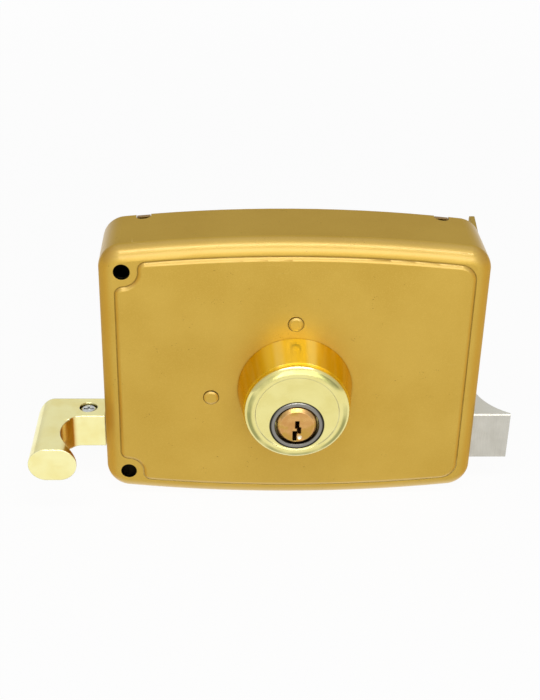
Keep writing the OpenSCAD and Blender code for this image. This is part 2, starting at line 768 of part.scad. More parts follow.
module cylinder_housing() {
    color(brass) stand() difference() {
        translate(cyl_at) rotate_extrude() housing_section();
        translate([each plug_at, body_base - over]) cylinder(r = bore_r, h = cyl_reach + cyl_back + 2 * over);
        translate([each plug_at, ring_base]) cylinder(d = ring_d, h = ring_depth + over);
        translate([each plug_at, flat_top - ring_gap_depth])
            cylinder(d = ring_d + 2 * ring_gap, h = ring_gap_depth + over);
        for (level = pin_levels)
            translate([each plug_at, level]) rotate([-90, 0, 0]) cylinder(r = pin_hole_r, h = body_d);
        translate([plug_at[0] - cap_w / 2, plug_at[1] + cap_base, body_base - over])
            cube([cap_w, body_d, cap_front - body_base + over]);
    }
}

module chamber_cap() {
    color(brass) stand() translate([plug_at[0] - cap_w / 2, plug_at[1] + cap_base, body_base])
        cube([cap_w, cap_t, cap_front - body_base]);
}

// A horseshoe that straddles the cylinder's groove from below
module cylinder_clip() {
    inner = groove_r + clip_gap;
    color(steel) stand() translate([each cyl_at, clip_base]) linear_extrude(clip_t) difference() {
        circle(inner + clip_w);
        circle(inner);
        translate([-inner, 0]) square([2 * inner, inner + clip_w + over]);
    }
}

module face_ring() {
    inner = plug_d / 2 + plug_head_gap;
    outer = ring_d / 2;
    top = ring_depth + ring_rise;
    color(steel) stand() translate([each plug_at, ring_base]) rotate_extrude()
        polygon([[inner, 0], [outer, 0], [outer, top - ring_rise], [outer - ring_rise, top],
            [inner + ring_rise, top], [inner, top - ring_rise]]);
}

module driver_pins() {
    color(brass) stand() for (level = pin_levels)
        translate([plug_at[0], plug_at[1] + driver_base, level]) rotate([-90, 0, 0])
            cylinder(d = pin_d, h = driver_len);
}

module pin_springs() {
    first = driver_base + driver_len;
    color(steel) stand() for (level = pin_levels)
        translate([plug_at[0], plug_at[1] + first, level]) rotate([-90, 0, 0])
            coil(pin_d / 2 - pin_wire, pin_wire, pin_turns, cap_base - first, pin_spring_steps, wire_sides);
}

// Keyway seen from the front: three steps, with a ledge that joins the middle one to the lower one
module keyway() {
    half = key_step_w / 2;
    mid_top = -key_mid_drop;
    top_low = mid_top - key_lap;
    ledge_top = -key_ledge_drop;
    ledge_low = ledge_top - key_ledge_h;
    polygon([[key_low_x - half, -key_depth], [key_low_x + half, -key_depth], [key_low_x + half, ledge_low],
        [key_mid_x + half, ledge_low], [key_mid_x + half, mid_top], [key_top_x + half, mid_top],
        [key_top_x + half, key_rise], [key_top_x - half, key_rise], [key_top_x - half, top_low],
        [key_mid_x - half, top_low], [key_mid_x - half, ledge_top], [key_low_x - half, ledge_top]]);
}

module cylinder_plug() {
    shoulder = ring_base + plug_gap;
    dimple_slope = dimple_d / (2 * dimple_depth);
    color(bronze) stand() translate(plug_at) difference() {
        union() {
            rotate_extrude() polygon([[0, cam_top], [plug_neck_d / 2, cam_top],
                [plug_neck_d / 2, body_base - plug_bevel], [plug_body_d / 2, body_base],
                [plug_body_d / 2, shoulder], [plug_d / 2, shoulder], [plug_d / 2, plug_top - plug_bevel],
                [plug_d / 2 - plug_bevel, plug_top], [0, plug_top]]);
            translate([0, 0, tail_end]) linear_extrude(cam_top - tail_end) tail_outline(0);
        }
        translate([0, 0, cam_clip_base]) difference() {
            cylinder(d = 2 * tail_d, h = cam_clip_t);
            translate([0, 0, -over]) cylinder(r = tail_core_r, h = cam_clip_t + 2 * over);
        }
        translate([0, 0, body_base + key_end]) linear_extrude(cyl_reach + cyl_back) keyway();
        translate([dimple_x, -dimple_drop, plug_top - dimple_depth])
            cylinder(r1 = 0, r2 = dimple_slope * (dimple_depth + over), h = dimple_depth + over);
        translate([-tail_slot_w / 2, -tail_d, tail_end - over])
            cube([tail_slot_w, 2 * tail_d, tail_slot_d + over]);
        for (level = pin_levels)
            translate([0, pin_floor, level]) rotate([-90, 0, 0]) cylinder(r = pin_hole_r, h = plug_d);
    }
}

// Round tail with two flats
module tail_outline(gap) {
    intersection() {
        circle(d = tail_d + 2 * gap);
        square([tail_d * 2, tail_flats + 2 * gap], center = true);
    }
}

// Lengths of the key pins, which stand level with the plug when the key is in
key_pin_lengths = [4.4, 3.6, 4.8, 4.0, 3.8];
key_pin_top = sqrt(pow(plug_body_d / 2, 2) - pow(pin_d / 2, 2)) - pin_gap;

module key_pins() {
    color(brass) stand() for (i = [0 : len(pin_levels) - 1])
        translate([plug_at[0], plug_at[1] + key_pin_top - key_pin_lengths[i], pin_levels[i]])
        rotate([-90, 0, 0]) {
            cylinder(d1 = pin_d - 2 * pin_tip, d2 = pin_d, h = pin_tip);
            translate([0, 0, pin_tip]) cylinder(d = pin_d, h = key_pin_lengths[i] - pin_tip);
        }
}

module tail_cam() {
    color(steel) stand() translate([each plug_at, cam_base]) linear_extrude(cam_t) difference() {
        rotate(half_turn) {
            circle(d = hub_d);
            translate([-finger_web / 2, -cam_r]) square([finger_web, cam_r]);
            translate([0, -cam_r]) circle(finger_r);
        }
        tail_outline(plug_gap);
    }
}

module cam_clip() {
    color(steel) stand() translate([each plug_at, cam_clip_base]) linear_extrude(cam_clip_t) difference() {
        circle(d = cam_clip_d);
        circle(tail_core_r + clip_gap);
        translate([-cam_clip_mouth / 2, 0]) square([cam_clip_mouth, cam_clip_d]);
    }
}

// Angle bracket with a square window for the bar
module bar_guide() {
    low = bar_z - bar_guide_h / 2;
    window = bar_s + 2 * bar_gap;
    color(zinc) stand() difference() {
        union() {
            translate([guide_x, low, plate_t])
                cube([guide_t, bar_guide_h, bar_y + bar_guide_reach - plate_t]);
            translate([guide_x, low, plate_t]) cube([guide_t + bar_guide_foot, bar_guide_h, guide_t]);
        }
        translate([guide_x - over, bar_z - window / 2, bar_y - window / 2])
            cube([guide_t + 2 * over, window, window]);
        for (at = foot_rivets())
            translate([each at, 0]) cylinder(d = guide_rivet_d, h = plate_t + guide_t + over);
    }
}

// Bridge over the bolt, seen along the bolt
module bolt_guide_section() {
    inner_low = bolt_low - bolt_gap;
    inner_top = bolt_top + bolt_gap;
    inner_front = bolt_front + bolt_gap;
    foot_low = inner_low - guide_t - guide_foot;
    foot_top = inner_top + guide_t + guide_foot;
    step = plate_t + guide_t;
    polygon([[foot_low, plate_t], [inner_low, plate_t], [inner_low, inner_front], [inner_top, inner_front],
        [inner_top, plate_t], [foot_top, plate_t], [foot_top, step], [inner_top + guide_t, step],
        [inner_top + guide_t, inner_front + guide_t], [inner_low - guide_t, inner_front + guide_t],
        [inner_low - guide_t, step], [foot_low, step]]);
}

module bolt_guide() {
    color(zinc) stand() difference() {
        translate([bolt_guide_x, 0, 0]) along_x(guide_w) bolt_guide_section();
        for (at = foot_rivets())
            translate([each at, 0]) cylinder(d = guide_rivet_d, h = plate_t + guide_t + over);
    }
}

module guide_rivets() {
    top = plate_t + guide_t;
    color(zinc) stand() for (at = foot_rivets()) translate(at) {
        cylinder(d = guide_rivet_d, h = top);
        translate([0, 0, top]) cylinder(d = guide_rivet_head_d, h = guide_rivet_head_h);
    }
}

bolt_pin_places = [for (side = [-1, 1]) [bolt_rear + bar_in_bolt / 2 + side * bolt_pin_pitch / 2, bar_z]];

// Plan of the bolt with its hollow bevel on the door side
module bolt_plan() {
    tip = [bolt_tip, bolt_front - tip_t];
    heel = [bolt_tip - bevel_len, bolt_back];
    chord = norm(tip - heel);
    middle = (tip + heel) / 2;
    way = (tip - heel) / chord;
    centre = middle + sqrt(pow(bevel_r, 2) - pow(chord / 2, 2)) * [way[1], -way[0]];
    heel_way = angle_of(heel - centre) + (heel[1] < centre[1] ? 360 : 0);
    difference() {
        translate([bolt_rear, bolt_back]) square([bolt_tip - bolt_rear, bolt_front - bolt_back]);
        polygon([tip, heel, heel - [0, over], [bolt_tip + over, bolt_back - over], tip + [over, 0]]);
        arc_cap([centre, bevel_r, angle_of(tip - centre), heel_way]);
    }
}

// Bolt seen along its length, with bevelled front edges
module bolt_section() {
    polygon([[bolt_low, bolt_back], [bolt_top, bolt_back], [bolt_top, bolt_front - bolt_edge],
        [bolt_top - bolt_edge, bolt_front], [bolt_low + bolt_edge, bolt_front],
        [bolt_low, bolt_front - bolt_edge]]);
}

module latch_bolt() {
    color(zinc) stand() difference() {
        intersection() {
            down_from(bolt_top + over, bolt_h + 2 * over) bolt_plan();
            translate([bolt_rear, 0, 0]) along_x(bolt_tip - bolt_rear) bolt_section();
        }
        translate([bolt_rear - over, bar_z - bar_s / 2, bar_y - bar_s / 2])
            cube([bar_in_bolt + over, bar_s, bar_s]);
        for (at = bolt_pin_places) translate([each at, bolt_back - over])
            cylinder(d = bolt_pin_d, h = bolt_front - bolt_back + 2 * over);
    }
}

module bolt_pins() {
    color(steel) stand() for (at = bolt_pin_places)
        translate([each at, bolt_back]) cylinder(d = bolt_pin_d, h = bolt_front - bolt_back);
}

screw_x = handle_right - screw_set;
yoke_low = bar_top - yoke_seat;
yoke_slot_low = plug_at[1] - cam_r - finger_r - 2 * yoke_play;
yoke_pin_at = [yoke_x, (yoke_low + yoke_slot_low) / 2];

module slide_bar() {
    color(steel) stand() difference() {
        translate([bar_left, bar_z - bar_s / 2, bar_y - bar_s / 2])
            cube([bar_right - bar_left, bar_s, bar_s]);
        translate([yoke_x - yoke_w / 2, yoke_low, cam_base]) cube([yoke_w, yoke_seat + over, cam_t]);
        translate([each yoke_pin_at, bar_y - bar_s]) cylinder(d = yoke_pin_d, h = 2 * bar_s);
        for (at = bolt_pin_places) translate([each at, bar_y - bar_s])
            cylinder(d = bolt_pin_d, h = 2 * bar_s);
        translate([screw_x, bar_top - screw_len, bar_y]) rotate([-90, 0, 0])
            cylinder(d = screw_d, h = screw_len + over);
    }
}

// Fork whose slot takes the cam's finger
module yoke_plate() {
    ear_top = plug_at[1] - cam_r * cos(half_turn) + yoke_ear;
    slot = 2 * (finger_r + yoke_play);
    color(steel) stand() translate([yoke_x, 0, cam_base]) difference() {
        translate([-yoke_w / 2, yoke_low, 0]) cube([yoke_w, ear_top - yoke_low, cam_t]);
        translate([-slot / 2, yoke_slot_low, -over]) cube([slot, cam_r, cam_t + 2 * over]);
        translate([0, yoke_pin_at[1], -over]) cylinder(d = yoke_pin_d, h = cam_t + 2 * over);
    }
}

module yoke_pin() {
    color(steel) stand() translate([each yoke_pin_at, bar_y - bar_s / 2]) cylinder(d = yoke_pin_d, h = bar_s);
}

spring_r = bar_s / sqrt(2) + spring_gap + spring_wire / 2;

module latch_spring() {
    color(steel) stand() translate([spring_x, bar_z, bar_y]) rotate([0, 90, 0])
        coil(spring_r, spring_wire, spring_turns, spring_len, spring_steps, wire_sides);
}

// Plan of the handle: shank, round rear corner, and the hook with its finger scoop
module handle_plan() {
    back = shank_front - shank_d;
    front = shank_front + hook_reach;
    scoop_at = [handle_left + neck_w + scoop_r, shank_front + scoop_off];
    blend_z = shank_front + scoop_blend_r;
    blend_at = [scoop_at[0] - sqrt(pow(scoop_r - scoop_blend_r, 2) - pow(scoop_at[1] - blend_z, 2)), blend_z];
    meet = angle_of(blend_at - scoop_at) + 360;
    scoop = [scoop_at, scoop_r, scoop_angle, meet];
    blend = [blend_at, scoop_blend_r, meet, 270];
    corner = [[handle_left + handle_corner_r, back + handle_corner_r], handle_corner_r, 180, 270];
    far = polar(scoop_at, scoop_r, scoop_angle);
    difference() {
        union() {
            polygon([polar(corner[0], handle_corner_r, 180), polar(corner[0], handle_corner_r, 270),
                [handle_right, back], [handle_right, front], [handle_left, front]]);
            arc_cap(corner);
        }
        polygon([far, polar(scoop_at, scoop_r, meet), [blend_at[0], shank_front],
            [handle_right + over, shank_front], [handle_right + over, far[1]]]);
        arc_cap(scoop);
        arc_cap(blend);
        translate([handle_left + hook_w, far[1]]) square([handle_len, front]);
    }
}

// The hook seen from the front: flat top and bottom, round sides
module hook_section() {
    r = handle_h / 2;
    left = handle_left + r;
    right = handle_left + hook_w - r;
    translate([left, bar_z - r]) square([right - left, handle_h]);
    arc_cap([[left, bar_z], r, 90, 270]);
    arc_cap([[right, bar_z], r, -90, 90]);
}

module pull_handle() {
    back = shank_front - shank_d;
    shank_left = handle_left + hook_w - handle_h / 2;
    low = bar_z - handle_h / 2;
    color(brass) stand() difference() {
        intersection() {
            down_from(low + handle_h + over, handle_h + 2 * over) handle_plan();
            union() {
                translate([0, 0, back]) linear_extrude(shank_d + hook_reach) hook_section();
                translate([shank_left, low, back])
                    cube([handle_right - shank_left, handle_h, shank_d + scoop_blend_r / 2]);
            }
        }
        translate([bar_left, bar_z - bar_s / 2, bar_y - bar_s / 2])
            cube([bar_in_handle + over, bar_s, bar_s]);
        translate([screw_x, bar_z, bar_y]) rotate([-90, 0, 0])
            cylinder(d = screw_head_d + 2 * screw_gap, h = handle_h);
    }
}

// Pan-head screw with a cross slot
module handle_screw() {
    color(zinc) stand() translate([screw_x, bar_top, bar_y]) rotate([-90, 0, 0]) difference() {
        union() {
            translate([0, 0, -screw_len]) cylinder(d = screw_d, h = screw_len);
            cylinder(d = screw_head_d, h = screw_side_h);
            translate([0, 0, screw_side_h])
                cylinder(d1 = screw_head_d, d2 = screw_flat_d, h = screw_head_h - screw_side_h);
        }
        for (turn = [0, 90]) rotate(turn)
            translate([-screw_slot_l / 2, -screw_slot_w / 2, screw_head_h - screw_slot_d])
                cube([screw_slot_l, screw_slot_w, screw_slot_d + over]);
    }
}

case_cover();
back_plate();
bracket_plate();
panel_rivets();
cylinder_collar();
cylinder_housing();
cylinder_clip();
face_ring();
driver_pins();
pin_springs();
chamber_cap();
bar_guide();
bolt_guide();
guide_rivets();
cylinder_plug();
key_pins();
tail_cam();
cam_clip();
latch_bolt();
slide_bar();
bolt_pins();
yoke_plate();
yoke_pin();
latch_spring();
pull_handle();
handle_screw();
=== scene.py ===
"""Finishes, studio and camera for a rim box lock: gold case, brass pull and cylinder, plated bolt."""
import json
import math

import bpy
from mathutils import Matrix, Vector

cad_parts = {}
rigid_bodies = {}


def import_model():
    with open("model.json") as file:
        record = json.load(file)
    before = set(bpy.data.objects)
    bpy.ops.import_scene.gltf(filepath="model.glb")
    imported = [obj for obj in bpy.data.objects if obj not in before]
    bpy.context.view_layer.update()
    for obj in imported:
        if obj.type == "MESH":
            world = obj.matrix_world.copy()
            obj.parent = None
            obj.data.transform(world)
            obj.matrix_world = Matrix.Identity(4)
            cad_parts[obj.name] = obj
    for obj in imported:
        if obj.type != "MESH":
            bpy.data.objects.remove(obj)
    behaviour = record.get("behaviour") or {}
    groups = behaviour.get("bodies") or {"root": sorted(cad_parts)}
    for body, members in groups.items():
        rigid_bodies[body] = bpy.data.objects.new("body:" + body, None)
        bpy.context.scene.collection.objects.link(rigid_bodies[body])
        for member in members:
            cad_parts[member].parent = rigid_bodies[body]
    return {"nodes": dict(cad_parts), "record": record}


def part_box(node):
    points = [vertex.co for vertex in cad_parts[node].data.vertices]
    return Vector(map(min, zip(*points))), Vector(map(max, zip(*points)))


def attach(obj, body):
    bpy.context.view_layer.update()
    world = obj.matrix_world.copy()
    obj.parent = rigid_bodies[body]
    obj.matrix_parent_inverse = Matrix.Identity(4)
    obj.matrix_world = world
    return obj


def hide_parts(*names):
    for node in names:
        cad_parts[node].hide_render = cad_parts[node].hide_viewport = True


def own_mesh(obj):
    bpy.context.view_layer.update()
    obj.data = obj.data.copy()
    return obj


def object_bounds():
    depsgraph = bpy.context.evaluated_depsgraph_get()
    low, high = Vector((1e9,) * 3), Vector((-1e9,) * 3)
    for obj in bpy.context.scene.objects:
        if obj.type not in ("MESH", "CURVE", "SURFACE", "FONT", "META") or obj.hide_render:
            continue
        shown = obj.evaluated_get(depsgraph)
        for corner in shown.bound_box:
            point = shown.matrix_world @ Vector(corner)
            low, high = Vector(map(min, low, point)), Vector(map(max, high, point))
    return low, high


MM = 0.001

# The photograph's height in pixels, and the camera that was fitted to the case and the cylinder in it
IMAGE_HEIGHT = 700
FOCAL_PIXELS = 1271.0
SENSOR = 36.0
CAMERA_AZIMUTH = math.radians(-2.63)
CAMERA_ELEVATION = math.radians(29.065)
CAMERA_ROLL = math.radians(1.399)
CAMERA_DISTANCE = 0.40197
CAMERA_TARGET = Vector((-0.0072, -0.02015, 0.0067))

# The floor's reach, how white it is near the lock and as light on it, and where it turns full white
FLOOR_REACH = 12.0
FLOOR_NEAR_WHITE = 0.95
FLOOR_LIGHT = 0.6
FLOOR_FADE = (0.1, 1.2)
# The point that the lamps face
LAMP_TARGET = Vector((0, -0.015, 0))

# Places across and up the lock, in metres. The fixing hole and the tongue have mirror images.
FIXING_HOLE = (-0.0527, 0.036)
FIXING_HOLE_RADIUS = 0.0025
TONGUE = (0.044, 0.0427)
# The hard pin's place, counted from the plug's axis
HARD_PIN = (0.0009, -0.0038)
# The distance from the edge of the cylinder's head in to its step
HEAD_STEP = 0.0032
# A point in the hollow of the case, which its inner faces look towards
CASE_MIDDLE = (0.0, -0.01, 0.0)
# The depth of the front of the pull's shank, and the heights over which the panel's crease goes from a
# painted highlight below to painted shade above
SHANK_FRONT = -0.0181
CREASE_DARKENS = (-0.035, -0.029)


def start_empty():
    """Clears the default scene and sets plain display colours."""
    for thing in list(bpy.data.objects):
        bpy.data.objects.remove(thing)
    bpy.context.scene.view_settings.view_transform = "Standard"


start_empty()
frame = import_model()
cad_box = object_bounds()
nodes = frame["nodes"]


def axis_of(node):
    """The middle of a turned node across and up the lock, in metres."""
    low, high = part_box(node)
    return (low.x + high.x) / 2, (low.z + high.z) / 2


def radius_of(node):
    """Half the width of a turned node, in metres."""
    low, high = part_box(node)
    return (high.x - low.x) / 2


class Wire:
    """A value in a material's node tree. Arithmetic on it adds Math nodes."""

    def __init__(self, tree, socket=None):
        self.tree = tree
        self.socket = socket

    def node(self, kind, settings=None, inputs=None, output=0):
        """Adds a node with its settings and the values or links of its sockets."""
        made = self.tree.nodes.new(kind)
        for name, value in (settings or {}).items():
            setattr(made, name, value)
        for name, value in (inputs or {}).items():
            if isinstance(value, Wire):
                self.tree.links.new(value.socket, made.inputs[name])
            else:
                made.inputs[name].default_value = value
        return Wire(self.tree, made.outputs[output] if len(made.outputs) else None)

    def maths(self, operation, first, second=0.0):
        """Adds a Math node on one or two values."""
        return self.node("ShaderNodeMath", {"operation": operation}, {0: first, 1: second})

    def __add__(self, other):
        return self.maths("ADD", self, other)

    def __sub__(self, other):
        return self.maths("SUBTRACT", self, other)

    def __mul__(self, other):
        return self.maths("MULTIPLY", self, other)

    def __pow__(self, other):
        return self.maths("POWER", self, other)

    def __radd__(self, other):
        return self.maths("ADD", other, self)

    def __rsub__(self, other):
        return self.maths("SUBTRACT", other, self)

    def __rmul__(self, other):
        return self.maths("MULTIPLY", other, self)

    def __abs__(self):
        return self.maths("ABSOLUTE", self)

    def band(self, low, high):
        """0 below low, 1 above high, smooth between, and the other way round where low is above high."""
        return self.node("ShaderNodeMapRange", {"interpolation_type": "SMOOTHSTEP"},
                         {"Value": self, "From Min": low, "From Max": high})

    def near(self, middle, reach, core):
        """1 within core of a middle value, 0 beyond reach of it and smooth between them."""
        return abs(self - middle).band(reach, core)

    def part(self, axis):
        """One of the three parts of a vector."""
        return self.node("ShaderNodeSeparateXYZ", None, {"Vector": self}, axis)


def srgb(red, green, blue):
    """A colour as seen on a screen, from 0 to 255, in the linear values that a shader takes."""
    def linear(level):
        level /= 255
        return level / 12.92 if level <= 0.04045 else ((level + 0.055) / 1.055) ** 2.4
    return linear(red), linear(green), linear(blue), 1.0


class Finish:
    """A material under construction: its surface shader and the patterns that vary it."""

    def __init__(self, name):
        self.material = bpy.data.materials.new(name)
        self.material.use_nodes = True
        tree = self.material.node_tree
        tree.nodes.clear()
        self.start = Wire(tree)
        self.shader = tree.nodes.new("ShaderNodeBsdfPrincipled")
        out = tree.nodes.new("ShaderNodeOutputMaterial")
        tree.links.new(self.shader.outputs["BSDF"], out.inputs["Surface"])
        self.place = self.start.node("ShaderNodeTexCoord", output="Object")
        self.normal = self.start.node("ShaderNodeTexCoord", output="Normal")

    def set(self, **values):
        """Sets or links the shader's sockets, named in lower case with underscores."""
        for name, value in values.items():
            socket = self.shader.inputs[name.replace("_", " ").title().replace("Ior", "IOR")]
            if isinstance(value, Wire):
                self.start.tree.links.new(value.socket, socket)
            else:
                socket.default_value = value

    def vector(self, operation, first, second, output="Vector"):
        """Adds a Vector Math node on two vectors."""
        return self.start.node("ShaderNodeVectorMath", {"operation": operation},
                               {0: first, 1: second}, output)

    def joined(self, **parts):
        """A vector of the parts that are given, with 0 for the others."""
        return self.start.node("ShaderNodeCombineXYZ", None, parts)

    def mix(self, mask, first, second):
        """Two colours, mixed by a mask."""
        return self.start.node("ShaderNodeMix", {"data_type": "RGBA"},
                               {0: mask, 6: first, 7: second}, 2)

    def stretched(self, across, depth, up):
        """The object's own place, scaled by one over a pattern's size in millimetres each way."""
        return self.vector("MULTIPLY", self.place,
                           (1 / (across * MM), 1 / (depth * MM), 1 / (up * MM)))

    def noise(self, place, detail=2.0, rough=0.5):
        """Soft noise from about 0 to 1."""
        return self.start.node(
            "ShaderNodeTexNoise", None,
            {"Vector": place, "Scale": 1.0, "Detail": detail, "Roughness": rough}, "Fac")

    def grain(self, size, detail=2.0):
        """Soft noise of one size in millimetres each way."""
        return self.noise(self.stretched(size, size, size), detail)

    def cells(self, size):
        """A random level for each cell of a mosaic."""
        colour = self.start.node("ShaderNodeTexVoronoi", None,
                                 {"Vector": self.stretched(size, size, size), "Scale": 1.0}, "Color")
        return self.start.node("ShaderNodeSeparateColor", None, {"Color": colour}, "Red")

    def edges(self, radius):
        """1 along sharp edges and 0 elsewhere, from how far a rounded normal leans off the true one."""
        rounded = self.start.node("ShaderNodeBevel", {"samples": 6}, {"Radius": radius * MM})
        true_normal = self.start.node("ShaderNodeNewGeometry", output="Normal")
        return (1 - self.vector("DOT_PRODUCT", rounded, true_normal, "Value")).band(0.01, 0.12)

    def creases(self, reach):
        """1 in tight corners and 0 in the open."""
        open_sky = self.start.node("ShaderNodeAmbientOcclusion", {"samples": 8},
                                   {"Distance": reach * MM}, "AO")
        return 1 - open_sky

    def relief(self, height, depth, edge_radius=0.2):
        """Bump from a height pattern, with edges that catch light as if slightly rounded."""
        rounded = self.start.node("ShaderNodeBevel", {"samples": 4}, {"Radius": edge_radius * MM})
        bump = self.start.node(
            "ShaderNodeBump", None,
            {"Height": height, "Distance": depth * MM, "Strength": 1.0, "Normal": rounded})
        self.set(normal=bump)

    def from_axis(self, centre, mirrored=False):
        """Distance in metres from an axis that runs from the lock's front to its back, or from two."""
        across = self.place.part("X") - centre[0]
        height = self.place.part("Z")
        up = (abs(height) if mirrored else height) - centre[1]
        return (across * across + up * up) ** 0.5

    def facing(self, axis):
        """How far the surface faces along one of the object's own axes, from -1 to 1."""
        return self.normal.part(axis)

    def facing_in(self, middle):
        """1 on faces that look towards a middle point and 0 on those that look away from it."""
        away = self.vector("SUBTRACT", self.place, middle)
        return self.vector("DOT_PRODUCT", away, self.normal, "Value").band(-2 * MM, -6 * MM)

    def turned(self, centre, pitch):
        """Fine turning rings round such an axis, with a little wander, from about 0 to 1."""
        wander = self.grain(1.5) * (0.4 * pitch * MM)
        rings = (self.from_axis(centre) + wander) * (1 / (pitch * MM))
        return self.noise(self.joined(X=rings), detail=3.0, rough=0.6)

    def scratches(self, length, width):
        """A few fine scratches in two directions, as a mask."""
        level = self.noise(self.stretched(length, length, width), detail=1.0).band(0.74, 0.8)
        upright = self.noise(self.stretched(width, length, length), detail=1.0).band(0.76, 0.82)
        patches = self.grain(length * 0.6).band(0.56, 0.64)
        return self.start.maths("MAXIMUM", level, upright) * patches

    def specks(self, spacing):
        """Sparse small specks, as a mask."""
        return self.cells(spacing).band(0.96, 0.965) * self.grain(0.45).band(0.64, 0.7)


def gold_paint():
    """Satin gold paint with fine flakes over pressed sheet, rubbed at the edges, with painted light: a
    painted highlight on faces that look down and in the crease low down, and painted shade on faces that
    look sideways, in the creases higher up, on the lip, inside the case and in the fixing holes.
    """
    finish = Finish("gold_paint")
    side, front, rise = (finish.facing(axis) for axis in "XYZ")
    depth = finish.place.part("Y")
    cloud = finish.grain(26, detail=3.0).band(0.3, 0.7)
    flake = finish.cells(0.16)
    peel = finish.grain(0.9)
    edge = finish.edges(0.7) * finish.grain(3.0, detail=4.0).band(0.35, 0.7)
    crease = finish.creases(0.9).band(0.12, 0.6)
    scratch = finish.scratches(length=16, width=0.1)
    underside = rise.band(-0.1, -0.6)
    upright = abs(side).band(0.15, 0.6) * front.band(0.0, -0.4)
    lip = depth.band(0.5 * MM, 2 * MM)
    inside = finish.facing_in(CASE_MIDDLE) * depth.band(1 * MM, 0.0)
    hole = finish.from_axis(FIXING_HOLE, mirrored=True)
    bore = hole.band(FIXING_HOLE_RADIUS * 1.04, FIXING_HOLE_RADIUS * 1.01)
    body = finish.mix(cloud, srgb(194, 158, 67), srgb(201, 166, 75))
    sparkle = finish.mix(flake.band(0.6, 1.0) * 0.25, body, srgb(222, 188, 94))
    # painted highlight: faces that look down are lightened, as if lit from the floor below
    underside_lit = finish.mix(underside * 0.5, sparkle, srgb(224, 192, 106))
    # painted shade: front faces that turn to the sides are darker and more orange
    side_shaded = finish.mix(upright * 0.45, underside_lit, srgb(200, 142, 32))
    rubbed = finish.mix(edge * 0.5, side_shaded, srgb(228, 198, 110))
    scored = finish.mix(scratch * 0.4, rubbed, srgb(224, 196, 118))
    dusty = finish.mix(finish.specks(2.4) * 0.6, scored, srgb(112, 84, 34))
    # painted shade in the creases, and a pale painted highlight in the panel's crease low down, where
    # the groove would otherwise look dark
    upper_crease = finish.place.part("Z").band(*CREASE_DARKENS)
    groove = finish.mix(upper_crease, srgb(252, 228, 156), srgb(136, 98, 32))
    shaded = finish.mix(crease * 0.6, dusty, groove)
    # painted shade: the lip behind the door face is darkened to olive
    spray_and_lip_shade = finish.mix(lip * 0.3, shaded, srgb(122, 108, 52))
    # painted shade: the faces inside the case are darkened almost to black
    inside_shaded = finish.mix(inside * 0.95, spray_and_lip_shade, srgb(34, 30, 24))
    # painted shade: the walls of the fixing holes are near black
    hole_shaded = finish.mix(bore, inside_shaded, srgb(12, 9, 6))
    rolled = abs(front * rise).band(0.15, 0.4)
    corner = abs(side).band(0.2, 0.95) * abs(rise).band(0.0, 0.3) * front.band(-0.5, -0.1)
    finish.set(base_color=hole_shaded, metallic=0.45, specular_ior_level=0.05,
               specular_tint=srgb(255, 237, 188), coat_roughness=0.28,
               coat_weight=rolled * 0.9 + corner * 0.8,
               roughness=0.32 + flake * 0.08 + cloud * 0.05 - edge * 0.06 - scratch * 0.05)
    finish.relief(peel * 0.7 + flake * 0.3 - scratch * 0.6, 0.014, edge_radius=0.35)
    return finish.material


def collar_lacquer():
    """Deep-gold polished metal of the turned collar, with soft streaks down its side, a painted
    highlight on its top and in two streaks beside it, and painted shade in its corners and on its front
    face.
    """
    finish = Finish("collar_lacquer")
    centre = axis_of("cylinder_collar")
    across, depth, up = (finish.place.part(axis) for axis in "XYZ")
    turn = finish.start.maths("ARCTAN2", up - centre[1], across - centre[0])
    streak = finish.noise(finish.joined(X=turn * 5.0, Y=depth * 30.0)).band(0.38, 0.66)
    rings = finish.noise(finish.joined(Y=depth * (1 / (0.22 * MM))))
    top = math.pi / 2
    crown = turn.near(top + 0.14, reach=0.72, core=0.3)
    painted_highlight = abs(turn - (top + 0.04)).near(0.3, reach=0.14, core=0.03)
    crease = finish.creases(0.8).band(0.3, 0.85)
    tip = finish.facing("Y").band(-0.5, -0.9)
    # painted highlight: the top of the collar is paler and its sides darker
    body = finish.mix(crown, srgb(222, 176, 10), srgb(255, 228, 76))
    # painted highlight in two pale streaks beside the top, over a faint random streak in the metal
    streaked = finish.mix(painted_highlight * 0.7 + streak * 0.15, body, srgb(255, 242, 156))
    ringed = finish.mix(rings * 0.2, streaked, srgb(228, 180, 24))
    # painted shade in the collar's corners
    shaded = finish.mix(crease * 0.6, ringed, srgb(150, 104, 8))
    # painted shade: the faces that look forwards are darkened
    front_shaded = finish.mix(tip * 0.65, shaded, srgb(196, 142, 26))
    finish.set(base_color=front_shaded, metallic=0.65, specular_ior_level=0.05,
               specular_tint=srgb(255, 226, 150), roughness=0.16 + streak * 0.05 + rings * 0.06)
    finish.relief(rings, 0.004, edge_radius=0.3)
    return finish.material


